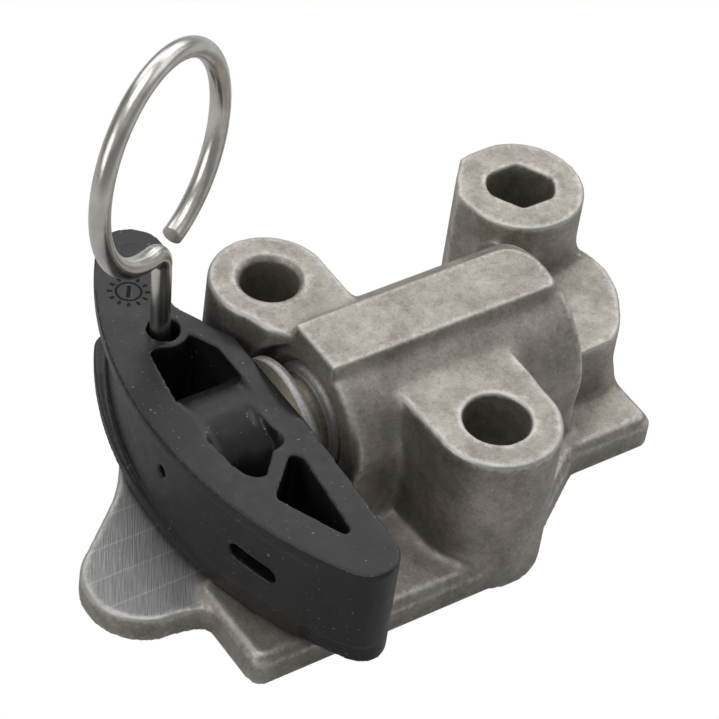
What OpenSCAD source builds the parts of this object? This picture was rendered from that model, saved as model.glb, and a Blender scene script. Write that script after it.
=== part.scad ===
// Hydraulic timing chain tensioner with a locked plunger.
// X runs along the plunger towards the chain, Z points up from the mounting face.
// The origin lies on the mounting face, under the mouth of the plunger bore.

/* [Base plate] */
// Thickness of the raised part of the base plate
plate_t = 3.9; // [3.4:0.1:6]
// Thickness of the milled tab and of the path under the shoe
tab_t = 3.2; // [2.4:0.1:3.3]
// Distance of the long front edge from the plunger axis
plate_front = 21.5; // [20:0.1:24]
// Distance of the corner beside the tab from the bore mouth
plate_nose = 18.4; // [16:0.1:20]
// Step between the plate edge and its raised upper layer
plate_rim = 0.6; // [0.3:0.1:1]
// Centre of the tab, along the plunger
tab_x = 22; // [20:0.5:24]
// Centre of the tab, across the plunger
tab_y = 5; // [4:0.5:6]
// Radius of the tab
tab_r = 6.5; // [5.5:0.1:7]
// Rear end of the wing
wing_x = -39.1; // [-42:0.1:-37]
// Front edge of the wing
wing_y = 12; // [10.5:0.1:13]

/* [Barrel] */
// Height of the plunger axis above the mounting face
axis_z = 11.5; // [11.2:0.1:13]
// Outside diameter of the barrel
barrel_d = 19.6; // [18.6:0.1:21]
// Length of the full-diameter part of the barrel
barrel_l = 29; // [28:0.5:31]
// Length of the cone behind it
barrel_cone_l = 3; // [2.6:0.1:4.5]
// Diameter at the end of the cone
barrel_end_d = 7.8; // [7:0.1:11]
// Height of the flat rail above the barrel
rail_h = 0.4; // [0.2:0.1:1]
// Width of the flat rail
rail_w = 7.5; // [6:0.1:9]
// Length of the flat rail
rail_l = 28.6; // [24:0.1:30]

/* [Bolt bosses] */
// Locating boss: centre along the plunger
boss_a_x = -2.5; // [-4:0.1:-2]
// Locating boss: centre across the plunger
boss_a_y = -12.3; // [-13.5:0.1:-12]
// Locating boss: radius
boss_a_r = 6.6; // [5.6:0.1:6.8]
// Locating boss: height
boss_a_h = 20; // [18:0.1:21]
// Locating boss: hole diameter
hole_a_d = 6.4; // [5.4:0.1:7]
// Slotted boss: centre along the plunger
boss_b_x = -35; // [-36:0.1:-33]
// Slotted boss: centre across the plunger
boss_b_y = -12.2; // [-13:0.1:-11]
// Slotted boss: radius
boss_b_r = 7.1; // [6:0.1:8]
// Slotted boss: height
boss_b_h = 20.3; // [18:0.1:22]
// Slotted boss: width of its cored hole
hole_b_w = 7.5; // [6.5:0.1:8]
// Slotted boss: length of its cored hole between the two points
hole_b_l = 7.2; // [6.4:0.1:7.4]
// Front boss: centre along the plunger
boss_c_x = -13.2; // [-15:0.1:-12]
// Front boss: centre across the plunger
boss_c_y = 15; // [14:0.1:16]
// Front boss: radius
boss_c_r = 7; // [6:0.1:7.5]
// Front boss: height
boss_c_h = 18.6; // [17:0.1:20]
// Front boss: hole diameter
hole_c_d = 7.2; // [6:0.1:8]

/* [Plunger] */
// Diameter of the bore land that guides the plunger
bore_d = 12; // [11:0.1:12.6]
// Length of the guiding land
land_l = 7.5; // [6:0.1:8]
// Radial running clearance of the plunger
run_gap = 0.05; // [0.03:0.01:0.1]
// Travel of the plunger
travel = 10; // [6:0.5:10]
// Diameter of the hollow inside the plunger
hollow_d = 8.6; // [8.2:0.1:9]
// Rear end of the plunger
plunger_rear = -21; // [-22:0.1:-20.5]
// Thickness of the solid plunger nose behind the bore mouth
nose_wall = 1.9; // [1.5:0.1:3]
// Diameter of the round head behind the shoe
head_d = 15.2; // [14:0.1:15.4]
// Thickness of the round head
head_t = 1.2; // [0.8:0.1:2]
// Diameter of the neck between the head and the guided part
neck_d = 10; // [9.6:0.1:11]
// Diameter of the stud in the shoe
stud_d = 8; // [6:0.1:9]
// Length of the stud in the shoe
stud_l = 6; // [4:0.1:7]
// Diameter of the vent bore
vent_d = 1; // [0.6:0.1:1.4]
// Diameter of the vent plug
vent_plug_d = 3; // [2:0.1:4]
// Length of the vent plug
vent_plug_l = 2.6; // [1.5:0.1:3]

/* [Shoe] */
// Distance of the shoe's back from the bore mouth
shoe_back = 4; // [4:0.1:6]
// Bottom of the shoe above the raised plate
shoe_gap = 0.3; // [0.3:0.1:1]
// Height of the shoe
shoe_h = 13.2; // [12.6:0.1:14.5]
// Radius of the chain face
face_r = 46.5; // [40:0.5:60]
// Crown of the chain face, measured from the bore mouth
face_x = 18.6; // [18:0.1:20]
// Outreach of the horn end
horn_reach = 28.3; // [26:0.1:30]
// Radius of the horn end
horn_r = 3.8; // [3:0.1:4.2]
// Outreach of the tip end
tip_reach = 26.8; // [25:0.1:28]
// Radius of the tip end
tip_r = 3.4; // [2.6:0.1:3.8]
// Depth of the chain track below the upper flange, at the crown
track_depth = 1; // [0.4:0.1:1.4]
// Shift of the track's centre towards the tip, which deepens it at the horn
track_shift = 2.1; // [0:0.1:2.4]
// Height of the upper flange
flange_h = 1.5; // [1:0.1:2.5]
// Height of the lower flange
foot_h = 1.45; // [1:0.05:2.5]
// Step of the lower flange behind the upper one
foot_step = 0.65; // [0.2:0.05:0.9]
// Outreach of the lower flange towards the horn
foot_reach = 25.4; // [24:0.1:26.5]
// Wall behind the chain face
face_wall = 4.2; // [3.8:0.1:5]
// Wall at the back of the windows
back_wall = 2.4; // [2:0.1:3]
// Radius of the plunger socket's round body
socket_r = 6.3; // [6:0.1:7.2]
// Length of the lubrication slot in the chain face
slot_l = 6.2; // [4:0.1:7]
// Height of the lubrication slot
slot_h = 1.8; // [1.2:0.1:2.4]
// Diameter of the jet hole in the chain face
jet_d = 1.3; // [0.8:0.1:2]

/* [Locking pin] */
// Wire diameter
wire_d = 2.2; // [1.8:0.1:2.4]
// Diameter of the pin hole in the shoe
pin_hole_d = 3.5; // [3.4:0.1:4]
// Wall of the boss round the pin hole
pin_wall = 1; // [0.8:0.1:1.3]
// Pin hole in the shoe top, along the plunger
pin_x = 10.3; // [9.8:0.1:10.6]
// Pin hole in the shoe top, across the plunger
pin_y = -13.1; // [-13.6:0.1:-12.8]
// Lean of the pin in its hole
pin_lean = 3; // [0:0.5:3]
// Height of the bend above the shoe
pin_rise = 11.1; // [9:0.1:14]
// Bend radius of the wire, at its centre line
bend_r = 2.4; // [1.8:0.1:3]
// Radius of the pull ring, at its centre line
ring_r = 11.7; // [10:0.1:14]
// Turn of the pull ring
ring_turn = 338; // [300:1:338]

/* [Check valve] */
// Diameter of the valve seat
seat_d = 10; // [9:0.1:11]
// Thickness of the valve seat
seat_t = 2; // [1.6:0.1:2.6]
// Diameter of the passage in the seat
seat_hole_d = 1.8; // [1.4:0.1:2]
// Diameter of the ball
ball_d = 3; // [2.6:0.1:3.2]
// Lift of the ball
ball_lift = 0.8; // [0.4:0.1:0.9]
// Sheet thickness of the cage
cage_t = 0.5; // [0.3:0.05:0.6]
// Diameter of the oil inlet on the mounting face
inlet_d = 4; // [3:0.1:4.5]

/* [Hidden] */
$fn = 64;
cut = 1;
press_gap = 0.02;
edge_in = 0.06;
valve_gap = 0.1;
up = [0, 0, 1];

// Places that several pieces share
boss_a = [boss_a_x, boss_a_y];
boss_b = [boss_b_x, boss_b_y];
boss_c = [boss_c_x, boss_c_y];
tab_c = [tab_x, tab_y];
barrel_r = barrel_d / 2;
bore_r = bore_d / 2;
plunger_r = bore_r - run_gap;
wide_bore_r = bore_r + 0.7;
bore_end = -26;
pocket_end = bore_end - seat_t - cage_t;
inlet_x = pocket_end - inlet_d / 2 - 0.6;
gallery_end = inlet_x;
waist_x = -barrel_l + 0.8;
slope_a = 128;
lobe_c = [boss_b.x - 0.2, 1.9];
lobe_r = 4.4;
lobe_foot = [boss_b.x - 1.2, boss_b.y + 7.2];
lobe_foot_r = 5.5;
lobe_h = axis_z + 0.8;
saddle_h = lobe_h + 0.9;
web_h = axis_z + 5;
head_r = head_d / 2;
spot_r = head_r + 0.5;
rail_top = axis_z + barrel_r + rail_h;

// Plunger stack along X
head_rear = shoe_back - head_t;
shoulder_x = 0.2;
neck_r = neck_d / 2;
hollow_end = -nose_wall;
hollow_r = hollow_d / 2;
stud_end = shoe_back + stud_l;
vent_plug_end = hollow_end + vent_plug_l;

// Retaining ring, set so that it reaches the end of the land just past full travel
stop_gap = 0.45;
ring_clip_t = 0.9;
clip_front = -land_l - stop_gap - travel;
clip_inner = plunger_r - 0.5;
clip_outer = wide_bore_r - 0.25;
clip_split = 3;

// Check valve stack along X
seat_front = pocket_end + seat_t;
dome_r = 2.1;
ball_r = ball_d / 2;
cone_depth = 0.8;
ball_x = seat_front - cone_depth - seat_hole_d / 2 + ball_r * sqrt(2) + valve_gap;
spring_room = 0.68;
cage_front = ball_x + ball_r + ball_lift + spring_room + cage_t;

// Plunger spring and its filler
spring_wire = 1.1;
spring_r = hollow_r - 0.35 - spring_wire / 2;
spring_coils = 8;
spring_rear = seat_front + cage_t + 0.1;
spring_front = hollow_end - 0.1;
filler_r = spring_r - spring_wire / 2 - 0.4;
filler_l = 9;

// Shoe
shoe_z = plate_t + shoe_gap;
shoe_top = shoe_z + shoe_h;
face_c = [face_x - face_r, 0];
horn_c = end_centre(horn_r, -horn_reach + horn_r, 0);
tip_c = end_centre(tip_r, tip_reach - tip_r, 0);
foot_end_r = 3;
foot_horn_c = end_centre(foot_end_r, -foot_reach + foot_end_r, foot_step);
foot_tip_c = end_centre(tip_r, tip_reach - tip_r, foot_step);
socket_gap = 0.1;
stud_r = stud_d / 2;
slot_y = 14.9;
slot_z = shoe_z + 0.51 * shoe_h;
track_r = face_r - track_depth;
track_c = [face_c.x, track_shift];

// Locking pin
wire_r = wire_d / 2;
lean_heading = -39;
ring_heading = 27;
ring_climb = 12;
ring_roll = -5;
pin_axis = [sin(pin_lean) * cos(lean_heading), sin(pin_lean) * sin(lean_heading), cos(pin_lean)];
pin_foot = [pin_x, pin_y, shoe_top];
pin_bend = pin_foot + pin_rise * pin_axis;
ring_dir = [cos(ring_heading) * cos(ring_climb), sin(ring_heading) * cos(ring_climb), sin(ring_climb)];
ring_side = unit(cross(up, ring_dir));
ring_up = cos(ring_roll) * cross(ring_dir, ring_side) + sin(ring_roll) * ring_side;
bend_turn = acos(pin_axis * ring_dir);
bend_reach = bend_r * tan(bend_turn / 2);
ring_lead = 0.6;
ring_start = pin_bend + (bend_reach + ring_lead) * ring_dir;
pin_tip_z = tab_t + 0.4;
lock_hole_d = wire_d + 0.8;
lug_r = 3.8;

function unit(v) = v / norm(v);
function polar(r, a) = r * [cos(a), sin(a)];
function pin_at(z) = pin_foot + (z - shoe_top) / pin_axis.z * pin_axis;
function face_at(y, inset) = [face_c.x + sqrt(pow(face_r - inset, 2) - y * y), y];
function end_centre(r, y, inset) = [face_c.x + sqrt(pow(face_r - inset - r, 2) - y * y), y];

// Points of an arc that rounds the corner q between p and s
function corner(p, q, s, r, n = 6) =
    let (u = unit(p - q), v = unit(s - q), half = acos(u * v) / 2)
    let (c = q + unit(u + v) * r / sin(half))
    let (a = q + u * r / tan(half) - c, b = q + v * r / tan(half) - c)
    let (from = atan2(a.y, a.x), sweep = atan2(a.x * b.y - a.y * b.x, a * b))
    r == 0 ? [q] : [for (i = [0:n]) c + polar(r, from + sweep * i / n)];

// Outline whose corners are given as [x, y, radius]
function rounded(pts) =
    let (n = len(pts), p = [for (c = pts) [c.x, c.y]])
    [for (i = [0:n - 1]) each corner(p[(i + n - 1) % n], p[i], p[(i + 1) % n], pts[i].z)];

// Straight-sided band round two circles
module band(c1, r1, c2, r2) {
    d = c2 - c1;
    a = atan2(d.y, d.x);
    b = acos((r1 - r2) / norm(d));
    q1 = r1 - edge_in;
    q2 = r2 - edge_in;
    translate(c1) circle(r1);
    translate(c2) circle(r2);
    polygon([c1 + polar(q1, a + b), c1 + polar(q1, a - b), c2 + polar(q2, a - b), c2 + polar(q2, a + b)]);
}

// Places children with their local axes along u, v and u x v
module set_frame(o, u, v) {
    w = cross(u, v);
    multmatrix([
        [u.x, v.x, w.x, o.x],
        [u.y, v.y, w.y, o.y],
        [u.z, v.z, w.z, o.z],
        [0, 0, 0, 1]]) children();
}

// Turned solid on the plunger axis, its profile given as [radius, x]
module turned(profile) {
    translate([0, 0, axis_z]) rotate([0, 90, 0]) rotate_extrude() polygon(profile);
}

// Cylinder on the plunger axis from x0 to x1
module rod(r, x0, x1) {
    translate([x0, 0, axis_z]) rotate([0, 90, 0]) cylinder(r = r, h = x1 - x0);
}

// Lower layer of the base plate, with tab, wing and the lug under the locking pin
module plate_outline() {
    lug = [pin_at(tab_t).x, pin_at(tab_t).y];
    lug_edge = lug + polar(lug_r - edge_in, -33);
    tab_edge = tab_c + polar(tab_r - edge_in, -52);
    slope_out = polar(boss_c_r - 0.8, slope_a);
    polygon(rounded([
        [plate_nose, plate_front, 1.5],
        [boss_c.x, plate_front, 0],
        [boss_c.x + slope_out.x, boss_c.y + slope_out.y, 0],
        [waist_x, wing_y, 2.5],
        [wing_x, wing_y, 1.4],
        [wing_x, 2, 0],
        [boss_b.x, boss_b.y, 0],
        [boss_b.x + boss_b_r + 3, boss_b.y - 1, 3],
        [boss_a.x - boss_a_r - 3, boss_a.y - 1, 3],
        [boss_a.x, boss_a.y, 0],
        [lug.x, lug.y, 0],
        [lug_edge.x, lug_edge.y, 0],
        [plate_nose, tab_c.y - 11.4, 20],
        [tab_edge.x, tab_edge.y, 0],
        [tab_c.x, tab_c.y + tab_r - edge_in, 0],
        [plate_nose, tab_c.y + tab_r + 0.7, 1.6]]));
    translate(tab_c) circle(tab_r);
    translate(boss_a) circle(boss_a_r);
    translate(boss_b) circle(boss_b_r);
    translate(boss_c) circle(boss_c_r);
    band(boss_a, boss_a_r - 1, lug, lug_r);
}

// Raised upper layer, clear of the milled path under the shoe
module raised_outline() {
    milled_y = tab_c.y + 4;
    front = plate_front - plate_rim;
    slope_out = polar(boss_c_r - 0.8 - plate_rim, slope_a);
    polygon(rounded([
        [plate_nose - plate_rim / 2, front, 1.2],
        [boss_c.x, front, 0],
        [boss_c.x + slope_out.x, boss_c.y + slope_out.y, 0],
        [waist_x + plate_rim / 2, wing_y - plate_rim, 2.5],
        [wing_x + plate_rim, wing_y - plate_rim, 1.2],
        [wing_x + plate_rim, 2, 0],
        [boss_b.x, boss_b.y, 0],
        [boss_a.x, boss_a.y, 0],
        [boss_a.x + 2, milled_y, 0],
        [plate_nose - plate_rim / 2, milled_y, 1.5]]));
}

module boss_a_outline() {
    translate(boss_a) circle(boss_a_r);
    polygon(rounded([
        [boss_a.x - boss_a_r + edge_in, boss_a.y, 0],
        [boss_a.x - boss_a_r + edge_in, 0, 0],
        [0, 0, 0],
        [0, -rail_w / 2, 0],
        [boss_a.x + boss_a_r - 2.2, boss_a.y + 6.6, 1],
        [boss_a.x + boss_a_r - edge_in, boss_a.y, 0]]));
}

// Round boss with one flat flank towards the locating boss
module boss_b_outline() {
    flank = -38;
    half = 3.2;
    reach = norm([boss_b_r - 0.2, half]);
    lead = atan2(half, boss_b_r - 0.2);
    grip = lead + acos(boss_b_r / reach);
    translate(boss_b) {
        circle(boss_b_r);
        polygon([[0, 0], polar(boss_b_r, flank - grip), polar(reach, flank - lead),
            polar(reach, flank + lead), polar(boss_b_r, flank + grip)]);
    }
}

module boss_c_outline() {
    splay = 0.6;
    translate(boss_c) circle(boss_c_r);
    half = boss_c_r - edge_in;
    polygon([[boss_c.x - half, boss_c.y], [boss_c.x - half - splay, 0],
        [boss_c.x + half + splay, 0], [boss_c.x + half, boss_c.y]]);
}

// Low lobe behind the barrel, over the oil inlet
module lobe_outline() {
    band(lobe_c, lobe_r, lobe_foot, lobe_foot_r);
    translate([lobe_c.x, lobe_foot.y]) square([-barrel_l - lobe_c.x + 3, lobe_c.y + lobe_r - lobe_foot.y]);
}

// Web between the slotted boss and the barrel
module web_outline() {
    rear = boss_b.x + 1.5;
    polygon([
        [rear, boss_b.y],
        [waist_x, boss_b.y],
        [waist_x, 0],
        [-barrel_l, -3],
        [rear, boss_b.y + 6.7]]);
}

// Low saddle that joins the slotted boss to the lobe
module saddle_outline() {
    rear = boss_b.x - 5.2;
    front = boss_b.y + 6.6;
    polygon([[rear, boss_b.y], [waist_x, boss_b.y], [waist_x, front], [rear, front]]);
}

module rail_outline() {
    half = rail_w / 2;
    polygon(rounded([[0, -half, 0], [0, half, 0], [-rail_l, half, 1.2], [-rail_l, -half, 3.2]]));
}

// Cored hole with two round and two pointed ends
module slot_hole_outline() {
    translate(boss_b) rotate(60) intersection() {
        circle(hole_b_w / 2);
        polygon([[hole_b_l / 2, 0], [0, hole_b_l * 0.87], [-hole_b_l / 2, 0], [0, -hole_b_l * 0.87]]);
    }
}

module housing_body() {
    flank = barrel_r - 0.2;
    rear = -barrel_l - barrel_cone_l;
    linear_extrude(tab_t) plate_outline();
    linear_extrude(plate_t) raised_outline();
    linear_extrude(boss_a_h) boss_a_outline();
    linear_extrude(boss_b_h) boss_b_outline();
    linear_extrude(boss_c_h) boss_c_outline();
    linear_extrude(lobe_h) lobe_outline();
    linear_extrude(saddle_h) saddle_outline();
    linear_extrude(web_h) web_outline();
    turned([[0, 0], [barrel_r - 0.6, 0], [barrel_r, -0.6], [barrel_r, -barrel_l],
        [barrel_end_d / 2, rear], [0, rear]]);
    translate([-barrel_l, -flank, 0]) cube([barrel_l, 2 * flank, axis_z]);
    translate([0, 0, axis_z]) linear_extrude(rail_top - axis_z) rail_outline();
}

module housing() {
    mouth = 0.8;
    chamfer = 0.6;
    pocket_r = seat_d / 2 + press_gap;
    gallery_r = inlet_d / 2 - 0.2;
    lug = pin_at(tab_t);
    color("#9b9790") difference() {
        housing_body();
        // Spot face, then the plunger bore with its mouth chamfer, land and wide rear part
        turned([[0, shoe_back + cut], [spot_r, shoe_back + cut], [spot_r, 0],
            [bore_r + mouth, 0], [bore_r, -mouth], [bore_r, -land_l],
            [wide_bore_r, -land_l], [wide_bore_r, bore_end],
            [pocket_r, bore_end], [pocket_r, pocket_end],
            [gallery_r, pocket_end], [gallery_r, gallery_end], [0, gallery_end]]);
        translate([inlet_x, 0, -cut]) cylinder(d = inlet_d, h = axis_z + cut);
        // Bolt holes
        translate([boss_a.x, boss_a.y, -cut]) cylinder(d = hole_a_d, h = boss_a_h + 2 * cut);
        translate([boss_a.x, boss_a.y, boss_a_h - chamfer])
            cylinder(d1 = hole_a_d, d2 = hole_a_d + 4 * chamfer, h = 2 * chamfer);
        translate([0, 0, -cut]) linear_extrude(boss_b_h + 2 * cut) slot_hole_outline();
        translate([boss_c.x, boss_c.y, -cut]) cylinder(d = hole_c_d, h = boss_c_h + 2 * cut);
        // Hole that takes the tip of the locking pin
        translate([lug.x, lug.y, -cut]) cylinder(d = lock_hole_d, h = tab_t + 2 * cut);
    }
}

module plunger() {
    groove_r = clip_inner - 0.1;
    groove_rear = clip_front - ring_clip_t - 0.05;
    groove_front = clip_front + 0.05;
    edge = 0.5;
    color("#c9c7c2") difference() {
        turned([[0, plunger_rear], [plunger_r - edge, plunger_rear], [plunger_r, plunger_rear + edge],
            [plunger_r, groove_rear], [groove_r, groove_rear],
            [groove_r, groove_front], [plunger_r, groove_front],
            [plunger_r, shoulder_x - edge], [plunger_r - edge, shoulder_x], [neck_r, shoulder_x],
            [neck_r, head_rear], [head_r, head_rear], [head_r, shoe_back],
            [stud_r, shoe_back], [stud_r, stud_end - edge], [stud_r - edge, stud_end], [0, stud_end]]);
        rod(hollow_r, plunger_rear - cut, hollow_end);
        rod(vent_plug_d / 2 + press_gap, hollow_end - cut, vent_plug_end);
        rod(vent_d / 2, vent_plug_end - cut, stud_end + cut);
    }
}

// Wire bent to a helix on the plunger axis, with an even pitch from x0 to x1
module coil(r, wire, x0, x1, turns, per_turn = 14, sides = 6) {
    steps = turns * per_turn;
    run = x1 - x0 - wire;
    pts = [for (i = [0:steps], j = [0:sides - 1])
        let (a = 360 * i / per_turn, b = 360 * j / sides, q = r + wire / 2 * cos(b))
        [x0 + wire / 2 + run * i / steps + wire / 2 * sin(b), q * cos(a), axis_z + q * sin(a)]];
    walls = [for (i = [0:steps - 1], j = [0:sides - 1])
        let (k = (j + 1) % sides, m = i * sides)
        [m + j, m + k, m + sides + k, m + sides + j]];
    first = [for (j = [0:sides - 1]) sides - 1 - j];
    last = [for (j = [0:sides - 1]) steps * sides + j];
    polyhedron(pts, concat(walls, [first, last]), convexity = 10);
}

module plunger_spring() {
    color("#8f8f8c") coil(spring_r, spring_wire, spring_rear, spring_front, spring_coils);
}

module spring_filler() {
    rear = hollow_end - filler_l;
    core_r = vent_plug_d / 2;
    taper = 1;
    color("#3b3b3b") turned([[core_r, hollow_end], [filler_r, hollow_end], [filler_r, rear + taper],
        [filler_r - taper, rear], [core_r, rear]]);
}

module retaining_ring() {
    color("#77756f") difference() {
        rod(clip_outer, clip_front - ring_clip_t, clip_front);
        rod(clip_inner, clip_front - ring_clip_t - cut, clip_front + cut);
        translate([clip_front - ring_clip_t - cut, -clip_split / 2, axis_z - clip_outer - cut])
            cube([ring_clip_t + 2 * cut, clip_split, clip_outer]);
    }
}

module vent_plug() {
    flat = 0.4;
    color("#b08d3c") difference() {
        rod(vent_plug_d / 2, hollow_end, vent_plug_end);
        translate([hollow_end - cut, -vent_plug_d, axis_z + vent_plug_d / 2 - flat])
            cube([vent_plug_l + 2 * cut, 2 * vent_plug_d, vent_plug_d]);
    }
}

module valve_seat() {
    hole_r = seat_hole_d / 2;
    color("#a9a59c") difference() {
        rod(seat_d / 2, pocket_end, seat_front);
        turned([[0, pocket_end - cut], [hole_r, pocket_end - cut], [hole_r, seat_front - cone_depth],
            [hole_r + cone_depth + cut, seat_front + cut], [0, seat_front + cut]]);
    }
}

module valve_ball() {
    color("#d8d8d6") translate([ball_x, 0, axis_z]) sphere(r = ball_r);
}

module valve_spring() {
    wire = 0.25;
    color("#8f8f8c") coil(0.9, wire, ball_x + ball_r * 0.83, cage_front - cage_t - 0.05, 3, 10, 6);
}

// Pressed cap with a flange under the plunger spring and four oil windows
module valve_cage() {
    window = 1.6;
    color("#b9b4a6") difference() {
        turned([[dome_r, seat_front], [seat_d / 2, seat_front], [seat_d / 2, seat_front + cage_t],
            [dome_r + cage_t, seat_front + cage_t], [dome_r + cage_t, cage_front], [0, cage_front],
            [0, cage_front - cage_t], [dome_r, cage_front - cage_t]]);
        for (a = [0:90:270]) translate([seat_front + 2 * cage_t + 0.2, 0, axis_z]) rotate([a, 0, 0])
            translate([0, -window / 2, 0]) cube([window, window, dome_r + 2 * cage_t]);
    }
}

// Crescent outline between the chain face and the back, with round ends
module shoe_outline() {
    horn_dir = unit(horn_c - face_c);
    tip_dir = unit(tip_c - face_c);
    far = face_r + 8;
    horn_back = horn_c + polar(horn_r, 158);
    tip_back = tip_c + polar(tip_r, 177);
    horn_out = face_c + far * horn_dir;
    tip_out = face_c + far * tip_dir;
    intersection() {
        translate(face_c) circle(face_r, $fn = 180);
        polygon(rounded([
            [horn_c.x, horn_c.y, 0],
            [horn_out.x, horn_out.y, 0],
            [face_c.x + 1.3 * far, 0, 0],
            [tip_out.x, tip_out.y, 0],
            [tip_c.x, tip_c.y, 0],
            [tip_back.x, tip_back.y, 0],
            [shoe_back, head_r + 0.2, 0],
            [shoe_back, -8.6, 1.6],
            [shoe_back + 3.4, -15.8, 2.5],
            [horn_back.x, horn_back.y, 0]]));
    }
    translate(horn_c) circle(horn_r);
    translate(tip_c) circle(tip_r);
}

// What lies in front of the recessed chain track
module track_cut() {
    difference() {
        translate(face_c) circle(face_r + cut, $fn = 180);
        translate(track_c) circle(track_r, $fn = 180);
    }
}

// Plan of the lower flange, with a round end at the tip and before the horn
module foot_outline() {
    far = 1.5 * face_r;
    horn_base = foot_horn_c.y + foot_end_r + cut;
    intersection() {
        translate(face_c) circle(face_r - foot_step, $fn = 180);
        polygon([face_c, face_c + far * unit(foot_horn_c - face_c), face_c + [far, 0],
            face_c + far * unit(foot_tip_c - face_c)]);
    }
    translate(foot_horn_c) circle(foot_end_r);
    translate(foot_tip_c) circle(tip_r);
    // The horn itself goes down no further out than the track
    intersection() {
        translate(track_c) circle(track_r, $fn = 180);
        translate([face_c.x, -far]) square([far, far + horn_base]);
    }
}

// What lies in front of the lower flange
module foot_cut() {
    difference() {
        translate(face_c) circle(face_r + cut, $fn = 180);
        foot_outline();
    }
}

// Windows beside the socket: one towards the pin, two towards the tip
module shoe_windows() {
    near_x = shoe_back + back_wall;
    far_x = near_x + 1.2;
    difference() {
        polygon(rounded([
            [near_x, -3, 0],
            [near_x, -8, 0.8],
            [near_x + 1.5, -11, 0.8],
            [face_at(-10.6, face_wall).x, -10.6, 0.6],
            [face_at(-3, face_wall).x, -3, 0]]));
        translate(pin_hole_c()) circle(pin_hole_d / 2 + pin_wall);
    }
    polygon(rounded([
        [far_x, 2, 0],
        [face_at(2, face_wall).x, 2, 0],
        [face_at(10, face_wall - 0.3).x, 10, 1],
        [far_x, 4.9, 0.6]]));
    polygon(rounded([
        [far_x - 0.7, 8.2, 0.7],
        [face_at(12.4, face_wall - 0.1).x, 12.4, 0.6],
        [far_x + 0.7, 21.6, 0.5]]));
}

function pin_hole_c() = let (c = pin_at(shoe_z + shoe_h / 2)) [c.x, c.y];

// Dial of short marks and an ejector ring, sunk into the top of the horn
module horn_marks() {
    sink = 0.15;
    line = 0.3;
    dial_c = [horn_c.x + 3.5, horn_c.y + 3.4];
    translate([dial_c.x, dial_c.y, shoe_top - sink]) {
        difference() {
            cylinder(r = 1.4, h = cut);
            translate([0, 0, -cut]) cylinder(r = 1.4 - line, h = 3 * cut);
        }
        for (a = [0:30:330]) rotate([0, 0, a]) translate([1.8, -line / 2, 0]) cube([0.5, line, cut]);
    }
    translate([horn_c.x, horn_c.y, shoe_top - sink]) difference() {
        cylinder(r = 1.3, h = cut);
        translate([0, 0, -cut]) cylinder(r = 1.3 - line, h = 3 * cut);
    }
}

module shoe() {
    pin_c = pin_hole_c();
    slot_a = asin(slot_y / face_r);
    slot_run = (slot_l - slot_h) / 2;
    reach = face_wall + 3 * cut;
    color("#2b2b2b") difference() {
        union() {
            difference() {
                translate([0, 0, shoe_z]) linear_extrude(shoe_h) shoe_outline();
                translate([0, 0, shoe_z - cut]) linear_extrude(shoe_h + 2 * cut) shoe_windows();
            }
            intersection() {
                rod(socket_r, shoe_back, face_x - face_wall + 0.6);
                translate([0, 0, shoe_z]) linear_extrude(shoe_h) shoe_outline();
            }
        }
        // Chain track between the flanges, and the lower flange set back from the upper one
        translate([0, 0, shoe_z + foot_h]) linear_extrude(shoe_h - foot_h - flange_h) track_cut();
        translate([0, 0, shoe_z - cut]) linear_extrude(foot_h + 2 * cut) foot_cut();
        rod(stud_r + socket_gap, shoe_back - cut, stud_end + socket_gap);
        rod(jet_d / 2, stud_end, face_x + cut);
        translate([pin_c.x, pin_c.y, shoe_z - cut]) cylinder(d = pin_hole_d, h = shoe_h + 2 * cut);
        // Lubrication slot, cut square to the chain face
        translate([face_c.x, face_c.y, slot_z]) rotate([0, 0, slot_a])
            translate([face_r - face_wall - cut, 0, 0]) {
                translate([0, -slot_run, -slot_h / 2]) cube([reach, 2 * slot_run, slot_h]);
                for (y = [-slot_run, slot_run])
                    translate([0, y, 0]) rotate([0, 90, 0]) cylinder(d = slot_h, h = reach);
            }
        horn_marks();
    }
}

// Straight leg, one tight bend and an open ring of round wire
module locking_pin() {
    // Bent wire is a touch thicker, and the straight runs reach a little way into it
    swell = 0.02;
    lap = 0.1;
    tip = pin_at(pin_tip_z);
    leg_end = pin_bend - bend_reach * pin_axis;
    bend_in = unit(ring_dir - (ring_dir * pin_axis) * pin_axis);
    across = unit(cross(up, pin_axis));
    ring_c = ring_start + ring_r * ring_up;
    color("#b4b2ac") {
        set_frame(tip, across, cross(pin_axis, across)) cylinder(r = wire_r, h = norm(leg_end - tip) + lap);
        set_frame(leg_end + bend_r * bend_in, -bend_in, pin_axis)
            rotate_extrude(angle = bend_turn) translate([bend_r, 0]) circle(wire_r + swell);
        set_frame(pin_bend + (bend_reach - lap) * ring_dir, ring_side, cross(ring_dir, ring_side))
            cylinder(r = wire_r, h = ring_lead + 2 * lap);
        set_frame(ring_c, -ring_up, ring_dir)
            rotate_extrude(angle = ring_turn) translate([ring_r, 0]) circle(wire_r + swell);
    }
}

housing();
plunger();
plunger_spring();
spring_filler();
retaining_ring();
vent_plug();
valve_seat();
valve_ball();
valve_spring();
valve_cage();
shoe();
locking_pin();
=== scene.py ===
import math

import bmesh
import bpy
import numpy as np
from mathutils import Matrix, Vector


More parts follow.
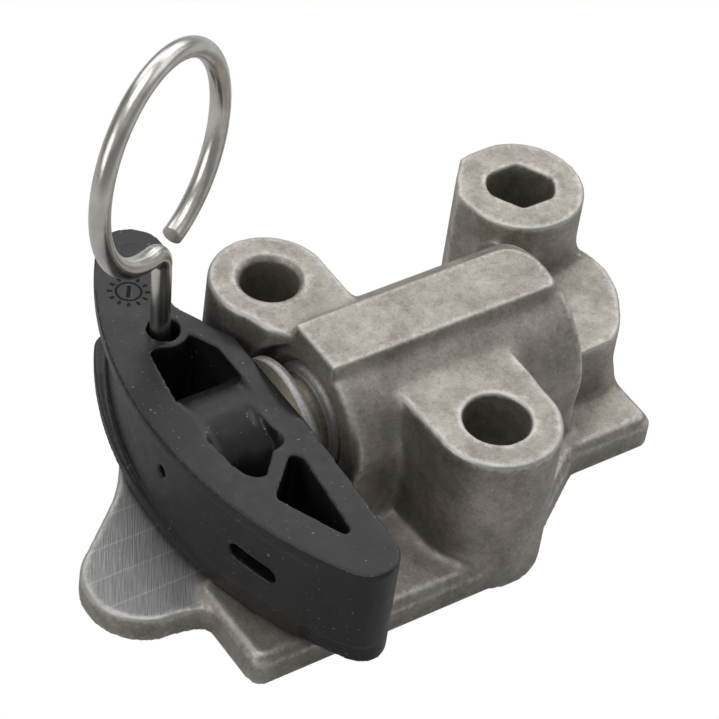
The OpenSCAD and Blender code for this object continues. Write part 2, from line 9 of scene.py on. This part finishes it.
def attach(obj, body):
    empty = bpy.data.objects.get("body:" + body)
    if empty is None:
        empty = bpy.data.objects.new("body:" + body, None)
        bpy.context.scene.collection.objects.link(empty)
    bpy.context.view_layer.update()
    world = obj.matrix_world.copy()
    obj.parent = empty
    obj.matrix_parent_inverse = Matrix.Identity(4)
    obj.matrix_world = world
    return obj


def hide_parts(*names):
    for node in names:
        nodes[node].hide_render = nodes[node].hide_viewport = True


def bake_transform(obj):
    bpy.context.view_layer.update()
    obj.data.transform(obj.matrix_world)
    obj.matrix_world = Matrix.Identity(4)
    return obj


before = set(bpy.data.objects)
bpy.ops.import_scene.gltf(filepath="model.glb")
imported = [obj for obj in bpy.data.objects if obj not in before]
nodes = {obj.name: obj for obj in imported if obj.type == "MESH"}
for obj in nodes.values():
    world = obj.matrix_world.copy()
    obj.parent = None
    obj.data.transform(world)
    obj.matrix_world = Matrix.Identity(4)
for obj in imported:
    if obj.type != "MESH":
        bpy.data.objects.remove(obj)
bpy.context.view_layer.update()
scene = bpy.context.scene
mm = 0.001
print("frame loaded")


def newMaterial(name):
    mat = bpy.data.materials.new(name)
    mat.use_nodes = True
    tree = mat.node_tree
    return mat, tree, tree.nodes["Principled BSDF"]


def put(tree, kind, **values):
    node = tree.nodes.new(kind)
    for key, value in values.items():
        setattr(node, key, value)
    return node


def feed(tree, value, socket):  # a colour, a number or a link
    if isinstance(value, tuple):
        socket.default_value = (*value, 1)
    elif isinstance(value, (int, float)):
        socket.default_value = value
    else:
        tree.links.new(value, socket)


def place(tree):
    return put(tree, "ShaderNodeTexCoord").outputs["Object"]


def noise(tree, size, detail=4, rough=0.55, coords=None):
    node = put(tree, "ShaderNodeTexNoise")
    node.inputs["Scale"].default_value = 1 / size
    node.inputs["Detail"].default_value = detail
    node.inputs["Roughness"].default_value = rough
    tree.links.new(coords or place(tree), node.inputs["Vector"])
    return node.outputs["Fac"]


def turned(tree, angle, stretch):  # coordinates turned about Z, then stretched
    node = put(tree, "ShaderNodeMapping", vector_type="POINT")
    node.inputs["Rotation"].default_value = (0, 0, -math.radians(angle))
    scaled = put(tree, "ShaderNodeVectorMath", operation="MULTIPLY")
    scaled.inputs[1].default_value = stretch
    tree.links.new(place(tree), node.inputs["Vector"])
    tree.links.new(node.outputs["Vector"], scaled.inputs[0])
    return scaled.outputs["Vector"]


def ramp(tree, fac, *stops):
    node = put(tree, "ShaderNodeValToRGB")
    marks = node.color_ramp.elements
    while len(marks) < len(stops):
        marks.new(0.5)
    for mark, (at, colour) in zip(marks, stops):
        mark.position = at
        mark.color = (*colour, 1)
    tree.links.new(fac, node.inputs["Fac"])
    return node.outputs["Color"]


def grey(value):
    return (value, value, value)


def greys(tree, fac, *stops):
    return ramp(tree, fac, *((at, grey(value)) for at, value in stops))


def mix(tree, kind, fac, a, b):
    node = put(tree, "ShaderNodeMix", data_type="RGBA", blend_type=kind)
    feed(tree, fac, node.inputs["Factor"])
    feed(tree, a, node.inputs["A"])
    feed(tree, b, node.inputs["B"])
    return node.outputs["Result"]


def maths(tree, kind, *values):
    node = put(tree, "ShaderNodeMath", operation=kind)
    for value, socket in zip(values, node.inputs):
        feed(tree, value, socket)
    return node.outputs["Value"]


def axis(tree, source, name):
    node = put(tree, "ShaderNodeSeparateXYZ")
    tree.links.new(source, node.inputs["Vector"])
    return node.outputs[name]


def edgeMark(tree):  # how far a point stands out, from edgeMarked
    return put(tree, "ShaderNodeAttribute", attribute_name="edge").outputs["Fac"]


def bump(tree, bsdf, height, strength, depth):
    node = put(tree, "ShaderNodeBump")
    node.inputs["Strength"].default_value = strength
    node.inputs["Distance"].default_value = depth
    tree.links.new(height, node.inputs["Height"])
    tree.links.new(node.outputs["Normal"], bsdf.inputs["Normal"])


def dress(obj, mat):
    obj.data.materials.clear()
    obj.data.materials.append(mat)


milling = dict(z=3.2 * mm, slack=0.2 * mm, level=0.94, angle=59.5, line=0.13 * mm, run=4 * mm,
               dark=(0.34, 0.34, 0.34), bright=(0.58, 0.575, 0.57),
               lap=3.7 * mm, lapAt=0.05 * mm, seam=0.12 * mm, seamShow=0.35, seamTone=(0.78, 0.77, 0.76))
# castSkin also sets the level of painted shade in inner corners and the lightened edges, partly abrasion and partly
# painted highlight
castSkin = dict(patch=5 * mm, dark=(0.34, 0.31, 0.27), light=(0.53, 0.49, 0.435), blotch=1.1 * mm, blotchShow=0.9,
                grain=0.3 * mm, grainShow=0.8, corner=0.75, wearHighlightPatch=0.7 * mm, wearHighlightSpread=0.24, wornAndHighlit=(0.8, 0.78, 0.74),
                metal=0.75, gloss=2 * mm, rough=(0.38, 0.56), pits=0.5 * mm, bump=0.3, depth=0.15 * mm)


def milledArea(tree):  # one on the flat face of the tab
    normal = put(tree, "ShaderNodeNewGeometry").outputs["Normal"]
    level = maths(tree, "COMPARE", axis(tree, place(tree), "Z"), milling["z"], milling["slack"])
    return maths(tree, "MULTIPLY", level, maths(tree, "GREATER_THAN", axis(tree, normal, "Z"), milling["level"]))


def milledColour(tree, lines):
    cut = ramp(tree, lines, (0.3, milling["dark"]), (0.7, milling["bright"]))
    across = maths(tree, "SUBTRACT", axis(tree, place(tree), "Y"), milling["lapAt"])
    seam = maths(tree, "LESS_THAN", maths(tree, "PINGPONG", across, milling["lap"] / 2), milling["seam"])
    return mix(tree, "MIX", maths(tree, "MULTIPLY", seam, milling["seamShow"]), cut, milling["seamTone"])


def castColour(tree):
    patches = ramp(tree, noise(tree, castSkin["patch"], 6, 0.62), (0.32, castSkin["dark"]), (0.68, castSkin["light"]))
    blotch = greys(tree, noise(tree, castSkin["blotch"], 5, 0.65), (0.3, 0.8), (0.5, 1), (0.68, 1.1))
    grain = greys(tree, noise(tree, castSkin["grain"], 3, 0.6), (0.28, 0.68), (0.42, 1), (0.72, 1.18))
    patches = mix(tree, "MULTIPLY", castSkin["blotchShow"], patches, blotch)
    return mix(tree, "MULTIPLY", castSkin["grainShow"], patches, grain)


def cornerShadeEdgeWearHighlight(tree, colour):  # painted shade darkens inner corners; outstanding edges lighten, partly from abrasion and partly as painted highlights
    edge = edgeMark(tree)
    # painted shade: darker colour where the surface turns inward
    cornerShade = greys(tree, maths(tree, "MULTIPLY", edge, -1), (0.02, 1), (0.15, castSkin["corner"]))
    # lighter outstanding edges: partly abrasion, partly painted highlight
    rubbedAndLit = maths(tree, "MULTIPLY_ADD", noise(tree, castSkin["wearHighlightPatch"], 5, 0.7), castSkin["wearHighlightSpread"], edge)
    wornAndHighlit = greys(tree, rubbedAndLit, (0.14, 0), (0.22, 0.75))
    return mix(tree, "MIX", wornAndHighlit, mix(tree, "MULTIPLY", 1, colour, cornerShade), castSkin["wornAndHighlit"])


def castAluminium():
    mat, tree, bsdf = newMaterial("castAluminium")
    lines = noise(tree, 1, 3, 0.6, turned(tree, milling["angle"], (1 / milling["run"], 1 / milling["line"], 0)))
    milled = milledArea(tree)
    colour = mix(tree, "MIX", milled, castColour(tree), milledColour(tree, lines))
    tree.links.new(cornerShadeEdgeWearHighlight(tree, colour), bsdf.inputs["Base Color"])
    smooth, dull = castSkin["rough"]
    rough = greys(tree, noise(tree, castSkin["gloss"], 5), (0.3, smooth), (0.7, dull))
    tree.links.new(rough, bsdf.inputs["Roughness"])
    bsdf.inputs["Metallic"].default_value = castSkin["metal"]
    skin = mix(tree, "MIX", milled, noise(tree, castSkin["pits"], 4, 0.65), lines)
    bump(tree, bsdf, skin, castSkin["bump"], castSkin["depth"])
    return mat


dial = dict(x=10.4 * mm, y=-19.4 * mm, top=17.4 * mm, depth=0.2 * mm, ring=1.35 * mm, line=0.13 * mm,
            tick=2 * mm, tickRun=0.28 * mm, tickShare=0.17, ticks=12, bar=0.9 * mm, barLines=1.6, turn=-35)
plasticSkin = dict(cloud=3 * mm, tones=(0.013, 0.022), scuff=0.9 * mm, scuffTone=0.06, dust=0.5 * mm,
                   dustTone=(0.3, 0.29, 0.28), edgeHighlightTone=0.07, markTone=0.004, markRough=0.9, gloss=1.2 * mm,
                   rough=(0.27, 0.4), pits=0.22 * mm, bump=0.1, depth=0.05 * mm)


def dialMarks(tree):  # ring, ticks and a bar, sunk into the horn
    shift = put(tree, "ShaderNodeVectorMath", operation="SUBTRACT")
    shift.inputs[1].default_value = (dial["x"], dial["y"], dial["top"])
    tree.links.new(place(tree), shift.inputs[0])
    x, y, z = (axis(tree, shift.outputs["Vector"], k) for k in "XYZ")
    r = maths(tree, "SQRT", maths(tree, "ADD", maths(tree, "MULTIPLY", x, x), maths(tree, "MULTIPLY", y, y)))
    ring = maths(tree, "COMPARE", r, dial["ring"], dial["line"])
    turns = maths(tree, "MULTIPLY", maths(tree, "ARCTAN2", y, x), dial["ticks"] / math.tau)
    tick = maths(tree, "LESS_THAN", maths(tree, "PINGPONG", turns, 0.5), dial["tickShare"])
    tick = maths(tree, "MULTIPLY", tick, maths(tree, "COMPARE", r, dial["tick"], dial["tickRun"]))
    turn = math.radians(dial["turn"])
    across = maths(tree, "ADD", maths(tree, "MULTIPLY", x, math.cos(turn)), maths(tree, "MULTIPLY", y, math.sin(turn)))
    bar = maths(tree, "LESS_THAN", maths(tree, "ABSOLUTE", across), dial["barLines"] * dial["line"])
    bar = maths(tree, "MULTIPLY", bar, maths(tree, "LESS_THAN", r, dial["bar"]))
    marks = maths(tree, "MAXIMUM", maths(tree, "MAXIMUM", ring, tick), bar)
    return maths(tree, "MULTIPLY", marks, maths(tree, "GREATER_THAN", z, -dial["depth"]))


def blackPlastic():
    mat, tree, bsdf = newMaterial("blackPlastic")
    dark, light = plasticSkin["tones"]
    cloud = greys(tree, noise(tree, plasticSkin["cloud"], 5), (0.3, dark), (0.7, light))
    scuff = greys(tree, noise(tree, plasticSkin["scuff"], 6, 0.75), (0.62, 0), (0.78, 0.35))
    dust = greys(tree, noise(tree, plasticSkin["dust"], 3), (0.685, 0), (0.72, 0.8))
    # painted highlight: outstanding edges lightened to a thin light line
    edge = greys(tree, edgeMark(tree), (0.06, 0), (0.2, 0.5))
    marks = dialMarks(tree)
    colour = mix(tree, "MIX", scuff, cloud, grey(plasticSkin["scuffTone"]))
    colour = mix(tree, "MIX", dust, colour, plasticSkin["dustTone"])
    colour = mix(tree, "MIX", edge, colour, grey(plasticSkin["edgeHighlightTone"]))
    tree.links.new(mix(tree, "MIX", marks, colour, grey(plasticSkin["markTone"])), bsdf.inputs["Base Color"])
    smooth, dull = plasticSkin["rough"]
    rough = greys(tree, noise(tree, plasticSkin["gloss"], 4), (0.3, smooth), (0.7, dull))
    tree.links.new(mix(tree, "MIX", marks, rough, grey(plasticSkin["markRough"])), bsdf.inputs["Roughness"])
    bump(tree, bsdf, noise(tree, plasticSkin["pits"], 3), plasticSkin["bump"], plasticSkin["depth"])
    return mat


metals = dict(wireSteel=dict(colour=(0.92, 0.89, 0.84), rough=0.27, cloud=3 * mm),
              springSteel=dict(colour=(0.4, 0.4, 0.39), rough=0.35, cloud=1 * mm),
              brass=dict(colour=(0.66, 0.5, 0.24), rough=0.3, cloud=1 * mm))
metalSkin = dict(dull=0.78, pits=0.8 * mm, bump=0.12, depth=0.12 * mm)


def plainMetal(name):
    mat, tree, bsdf = newMaterial(name)
    look = metals[name]
    dull = tuple(metalSkin["dull"] * c for c in look["colour"])
    tone = ramp(tree, noise(tree, look["cloud"], 5, 0.6), (0.35, dull), (0.6, look["colour"]))
    tree.links.new(tone, bsdf.inputs["Base Color"])
    bsdf.inputs["Metallic"].default_value = 1
    bsdf.inputs["Roughness"].default_value = look["rough"]
    bump(tree, bsdf, noise(tree, metalSkin["pits"], 5, 0.6), metalSkin["bump"], metalSkin["depth"])
    return mat


# the second pair of tones is painted shade for the neck and the front face
turning = dict(grain=0.4 * mm, bright=((0.4, 0.4, 0.4), (0.62, 0.61, 0.59)),
               tan=((0.16, 0.14, 0.11), (0.3, 0.27, 0.22)), neckX=1.5 * mm, neckHalf=1.22 * mm, frontX=3.9 * mm,
               metal=0.8, rough=0.5, bump=0.15, depth=0.05 * mm, sharp=38)


def plungerToneAndShade():  # bright steel, with painted shade as darker brownish tones on the neck and on the front face against the shoe
    mat, tree, bsdf = newMaterial("plungerSteel")
    grain = noise(tree, turning["grain"], 4, 0.65)
    bright, tan = (ramp(tree, grain, (0.3, dark), (0.7, light)) for dark, light in (turning["bright"], turning["tan"]))
    along = axis(tree, place(tree), "X")
    neck = maths(tree, "COMPARE", along, turning["neckX"], turning["neckHalf"])
    # painted shade: the neck and the front face take the darker brownish tones
    dull = maths(tree, "MAXIMUM", neck, maths(tree, "GREATER_THAN", along, turning["frontX"]))
    tree.links.new(mix(tree, "MIX", dull, bright, tan), bsdf.inputs["Base Color"])
    bsdf.inputs["Metallic"].default_value = turning["metal"]
    bsdf.inputs["Roughness"].default_value = turning["rough"]
    bump(tree, bsdf, grain, turning["bump"], turning["depth"])
    return mat


aluminium = castAluminium()
plastic = blackPlastic()
plungerSteel = plungerToneAndShade()
wireSteel, springSteel, brass = (plainMetal(name) for name in metals)
print("materials made")


def mergedCopy(node, name):
    bm = bmesh.new()
    bm.from_mesh(nodes[node].data)
    bmesh.ops.remove_doubles(bm, verts=bm.verts, dist=1e-6)
    mesh = bpy.data.meshes.new(name)
    bm.to_mesh(mesh)
    bm.free()
    obj = bpy.data.objects.new(name, mesh)
    scene.collection.objects.link(obj)
    return obj


def applied(obj, kind, **values):
    mod = obj.modifiers.new("step", kind)
    for key, value in values.items():
        setattr(mod, key, value)
    bpy.context.view_layer.update()
    graph = bpy.context.evaluated_depsgraph_get()
    mesh = bpy.data.meshes.new_from_object(obj.evaluated_get(graph))
    obj.modifiers.clear()
    obj.data = mesh


def smoothShaded(obj):
    obj.data.polygons.foreach_set("use_smooth", [True] * len(obj.data.polygons))


def meshLinks(mesh):
    count = len(mesh.vertices)
    co = np.empty(count * 3)
    mesh.vertices.foreach_get("co", co)
    ends = np.empty(len(mesh.edges) * 2, int)
    mesh.edges.foreach_get("vertices", ends)
    a, b = ends[0::2], ends[1::2]
    degree = np.bincount(ends, minlength=count)[:, None]

    def pull(co):  # from each point to the middle of its neighbours
        total = np.stack([np.bincount(a, co[b, k], count) + np.bincount(b, co[a, k], count) for k in range(3)], 1)
        return total / degree - co

    return co.reshape(-1, 3), pull


def meshNormals(mesh, co):
    mesh.vertices.foreach_set("co", co.ravel())
    mesh.update()
    normal = np.empty(co.size)
    mesh.vertices.foreach_get("normal", normal)
    return normal.reshape(-1, 3)


relaxing = dict(share=0.5, refresh=8)  # share of each pull, rounds between new normals


def relaxed(mesh, rounds, crest, keep):  # rounds outer edges by crest, inner corners fully
    co, pull = meshLinks(mesh)
    free = 1 - keep(co)[:, None]
    for i in range(rounds):
        if i % relaxing["refresh"] == 0:
            normal = meshNormals(mesh, co)
        step = pull(co)
        outward = (step * normal).sum(1)[:, None]
        co = co + relaxing["share"] * free * np.where(outward > 0, 1, crest) * step
    meshNormals(mesh, co)


def edgeMarked(mesh, rounds):  # attribute edge: how far a point stands out, in mm
    co, pull = meshLinks(mesh)
    soft = co
    for i in range(rounds):
        soft = soft + relaxing["share"] * pull(soft)
    out = ((co - soft) * meshNormals(mesh, co)).sum(1) / mm
    mesh.attributes.new("edge", "FLOAT", "POINT").data.foreach_set("value", out)


def nothing(co):
    return np.zeros(len(co))


def finishPiece(obj, mat, limit, body, node):
    triangles = len(obj.data.loops) - 2 * len(obj.data.polygons)
    applied(obj, "DECIMATE", ratio=min(1, limit / triangles))
    smoothShaded(obj)
    dress(obj, mat)
    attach(obj, body)
    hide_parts(node)
    print(obj.name, triangles, "triangles, kept", len(obj.data.polygons))


# housing, with places in mm
casting = dict(voxel=0.23 * mm, first=3, rounds=100, crest=0.05, spread=16, limit=185000, base=0.25,
               axisZ=11.5, boreR=8.6, boreX=(-32, 1),
               holes=((-2.5, -12.3, 3.9), (-13.2, 15, 4), (-31.1, 0, 2.6), (9.8, -12.6, 2.2)),
               lobeAt=(-34, -2), lobeFoot=(4.5, 6.5), lobeBlur=17,
               lobeDegrees=(92, 102, 114, 129, 151, 167, 180, 189, 200, 208),
               lobeSwell=(1, 0.985, 0.935, 0.925, 1.05, 1.1, 1.09, 1.07, 1, 1))


def castingKeep(co):  # one on the machined bore, holes and underside
    x, y, z = (co / mm).T
    rear, mouth = casting["boreX"]
    hold = np.zeros(len(co))
    hold[(np.hypot(y, z - casting["axisZ"]) < casting["boreR"]) & (x > rear) & (x < mouth)] = 1
    for holeX, holeY, r in casting["holes"]:
        hold[np.hypot(x - holeX, y - holeY) < r] = 1
    hold[z < casting["base"]] = 1
    return hold


def roundLobe(mesh):  # turns the lobe's straight rear wall into a round one
    co = meshLinks(mesh)[0]
    x, y, z = (co / mm).T
    dx, dy = x - casting["lobeAt"][0], y - casting["lobeAt"][1]
    steps = np.arange(361)
    curve = np.interp(steps, casting["lobeDegrees"], casting["lobeSwell"]) - 1
    window = np.hanning(casting["lobeBlur"])
    curve = np.convolve(curve, window / window.sum(), "same")
    grow = np.interp(np.degrees(np.arctan2(dy, dx)) % 360, steps, curve)
    grow = grow * np.interp(z, casting["lobeFoot"], (0, 1)) * mm
    co[:, 0] += dx * grow
    co[:, 1] += dy * grow
    meshNormals(mesh, co)


housing = mergedCopy("housing", "housingCasting")
applied(housing, "REMESH", mode="VOXEL", voxel_size=casting["voxel"])
roundLobe(housing.data)
relaxed(housing.data, casting["first"], 1, nothing)
relaxed(housing.data, casting["rounds"], casting["crest"], castingKeep)
edgeMarked(housing.data, casting["spread"])
finishPiece(housing, aluminium, casting["limit"], "housing", "housing")

# shoe, with places in mm
moulding = dict(voxel=0.2 * mm, rounds=3, spread=16, limit=110000, top=17.4, faceX=-27.9, wallR=42.3,
                socketR=6.45, socketH=5.85, socketZ=11.5, socketLow=12.5, socketRounds=10,
                backX=(6.4, 7.6), backFade=(0.2, 0.3), frontFade=(0.25, 0.8),
                marks=(10.57, -21.1), marksR=3, marksDepth=0.5,
                ribFade=(0.6, 0.2, 1.2), ribSocketSide=((7.6, 4.9), (13.5, 10), (0.5, 1.3), (-1.2, -0.1, 0.1, 2)),
                ribTipSide=((6.9, 8.2), (12.6, 12.4), (-0.45, 0.6), (-1, -0.1, 0.1, 1)))


def inSocket(co):  # weight of the round body of the plunger socket, fading into the walls
    x, y, z = (co / mm).T
    back = np.where(y < 0, *moulding["backX"])
    front = moulding["faceX"] + np.sqrt(moulding["wallR"] ** 2 - y ** 2)
    body = (abs(y) < moulding["socketR"]) & (z > moulding["socketLow"])
    backGap, backRun = moulding["backFade"]
    frontGap, frontRun = moulding["frontFade"]
    return body * np.clip((x - back - backGap) / backRun, 0, 1) * np.clip((front - frontGap - x) / frontRun, 0, 1)


def socketKeep(co):
    return 1 - inSocket(co)


def roundCrest(mesh):  # lowers the socket's flat crest to a round one and fills the source's marks
    co = meshLinks(mesh)[0]
    x, y, z = (co / mm).T
    crest = moulding["socketZ"] + moulding["socketH"] * np.sqrt(np.maximum(1 - (y / moulding["socketR"]) ** 2, 0))
    co[:, 2] -= inSocket(co) * np.maximum(z - crest, 0) * mm
    markX, markY = moulding["marks"]
    near = (np.hypot(x - markX, y - markY) < moulding["marksR"]) & (z > moulding["top"] - moulding["marksDepth"])
    co[near, 2] = moulding["top"] * mm
    meshNormals(mesh, co)


def thinRib(mesh, start, end, push, reach):  # moves one side of the rib between the two tip windows
    co = meshLinks(mesh)[0]
    x, y = (co / mm).T[:2]
    length = math.dist(start, end)
    tx, ty = (end[0] - start[0]) / length, (end[1] - start[1]) / length
    along = (x - start[0]) * tx + (y - start[1]) * ty
    off = (y - start[1]) * tx - (x - start[0]) * ty
    off = np.where(off < 0, off / (1 + np.clip(along / length, 0, 1)), off)
    before, after, past = moulding["ribFade"]
    move = np.interp(along, (-before, 0, length + after, length + past), (0, *push, 0))
    move = move * np.interp(off, reach, (0, 1, 1, 0)) * mm
    co[:, 0] -= move * ty
    co[:, 1] += move * tx
    meshNormals(mesh, co)


shoe = mergedCopy("shoe", "shoeMoulding")
applied(shoe, "REMESH", mode="VOXEL", voxel_size=moulding["voxel"])
roundCrest(shoe.data)
thinRib(shoe.data, *moulding["ribSocketSide"])
thinRib(shoe.data, *moulding["ribTipSide"])
relaxed(shoe.data, moulding["rounds"], 1, nothing)
relaxed(shoe.data, moulding["socketRounds"], 1, socketKeep)
edgeMarked(shoe.data, moulding["spread"])
finishPiece(shoe, plastic, moulding["limit"], "plunger", "shoe")

plunger = mergedCopy("plunger", "plungerTurned")
smoothShaded(plunger)
plunger.data.set_sharp_from_angle(angle=math.radians(turning["sharp"]))
dress(plunger, plungerSteel)
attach(plunger, "plunger")
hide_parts("plunger")


def springCopy(node, name):  # a smooth-shaded spring steel copy with its place baked in
    obj = mergedCopy(node, name)
    smoothShaded(obj)
    dress(obj, springSteel)
    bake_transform(obj)
    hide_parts(node)


springCopy("plunger_spring", "plungerSpringCoil")
springCopy("valve_spring", "valveSpringCoil")
for name, mat in (("retaining_ring", springSteel), ("valve_seat", springSteel), ("valve_cage", springSteel),
                  ("valve_ball", wireSteel), ("vent_plug", brass), ("spring_filler", plastic),
                  ("locking_pin", wireSteel)):
    dress(nodes[name], mat)
print("pieces dressed")

view = dict(az=140.711, el=43.998, roll=8.698, focal=3500, width=719, sensor=36, near=0.01,
            eye=(160.38, 203.59, 271.036))  # focal and width in pixels, eye in mm


def makeCamera():
    az, el, roll = (math.radians(view[k]) for k in ("az", "el", "roll"))
    back = Vector((math.sin(az) * math.cos(el), -math.cos(az) * math.cos(el), math.sin(el)))
    right = Vector((math.cos(az), math.sin(az), 0))
    up = back.cross(right)
    tiltRight = math.cos(roll) * right + math.sin(roll) * up
    tiltUp = math.cos(roll) * up - math.sin(roll) * right
    data = bpy.data.cameras.new("photoCamera")
    data.sensor_fit = "HORIZONTAL"
    data.sensor_width = view["sensor"]
    data.lens = view["focal"] / view["width"] * view["sensor"]
    data.clip_start = view["near"]
    cam = bpy.data.objects.new("photoCamera", data)
    turn = Matrix((tiltRight, tiltUp, back)).transposed().to_4x4()
    cam.matrix_world = Matrix.Translation(Vector(view["eye"]) * mm) @ turn
    scene.collection.objects.link(cam)
    scene.camera = cam


whiteFloor = dict(size=1.5, tone=0.6, rough=0.9, glossyGlow=0.08)


def makeFloor():
    bm = bmesh.new()
    bmesh.ops.create_grid(bm, x_segments=1, y_segments=1, size=whiteFloor["size"])
    mesh = bpy.data.meshes.new("floor")
    bm.to_mesh(mesh)
    bm.free()
    floor = bpy.data.objects.new("floor", mesh)
    scene.collection.objects.link(floor)
    mat, tree, bsdf = newMaterial("floorWhite")
    bsdf.inputs["Base Color"].default_value = (*grey(whiteFloor["tone"]), 1)
    bsdf.inputs["Roughness"].default_value = whiteFloor["rough"]
    glow = put(tree, "ShaderNodeEmission")
    rays = put(tree, "ShaderNodeLightPath").outputs
    mirrored = maths(tree, "MULTIPLY", rays["Is Glossy Ray"], whiteFloor["glossyGlow"])
    blend = put(tree, "ShaderNodeMixShader")
    tree.links.new(maths(tree, "MAXIMUM", rays["Is Camera Ray"], mirrored), blend.inputs["Fac"])
    tree.links.new(bsdf.outputs["BSDF"], blend.inputs[1])
    tree.links.new(glow.outputs["Emission"], blend.inputs[2])
    tree.links.new(blend.outputs["Shader"], tree.nodes["Material Output"].inputs["Surface"])
    dress(floor, mat)


studio = dict(sky=((0.3, 0.08), (0.45, 0.05), (0.6, 0.17)), tent=((0.3, 0.19), (0.45, 0.1), (0.6, 0.3)),
              aim=(-0.01, 0, 0.01), boxSize=0.4)
softboxes = dict(top=((0, -0.05, 0.65), 0.85), back=((-0.1, -0.5, 0.4), 0.55), left=((0.55, 0, 0.35), 0.75),
                 backRight=((-0.45, -0.3, 0.4), 0.75), right=((-0.55, 0.1, 0.35), 0.4),
                 frontRight=((-0.3, 0.45, 0.4), 0.02))  # place in m, power in W


def makeWorld():  # dim sky, a brighter tent in reflections, white for the camera
    world = bpy.data.worlds.new("studio")
    world.use_nodes = True
    tree = world.node_tree
    height = axis(tree, put(tree, "ShaderNodeTexCoord").outputs["Generated"], "Z")
    rays = put(tree, "ShaderNodeLightPath").outputs
    light = mix(tree, "MIX", rays["Is Glossy Ray"], greys(tree, height, *studio["sky"]),
                greys(tree, height, *studio["tent"]))
    light = mix(tree, "MIX", rays["Is Camera Ray"], light, grey(1))
    tree.links.new(light, tree.nodes["Background"].inputs["Color"])
    scene.world = world


def makeLight(name, spot, power):
    data = bpy.data.lights.new(name, "AREA")
    data.shape = "RECTANGLE"
    data.size = data.size_y = studio["boxSize"]
    data.energy = power
    lamp = bpy.data.objects.new(name, data)
    lamp.location = spot
    lamp.rotation_euler = (Vector(studio["aim"]) - Vector(spot)).to_track_quat("-Z", "Y").to_euler()
    scene.collection.objects.link(lamp)


makeCamera()
makeFloor()
makeWorld()
for name, (spot, power) in softboxes.items():
    makeLight(name + "Softbox", spot, power)
scene.view_settings.view_transform = "Standard"
print("stage set")
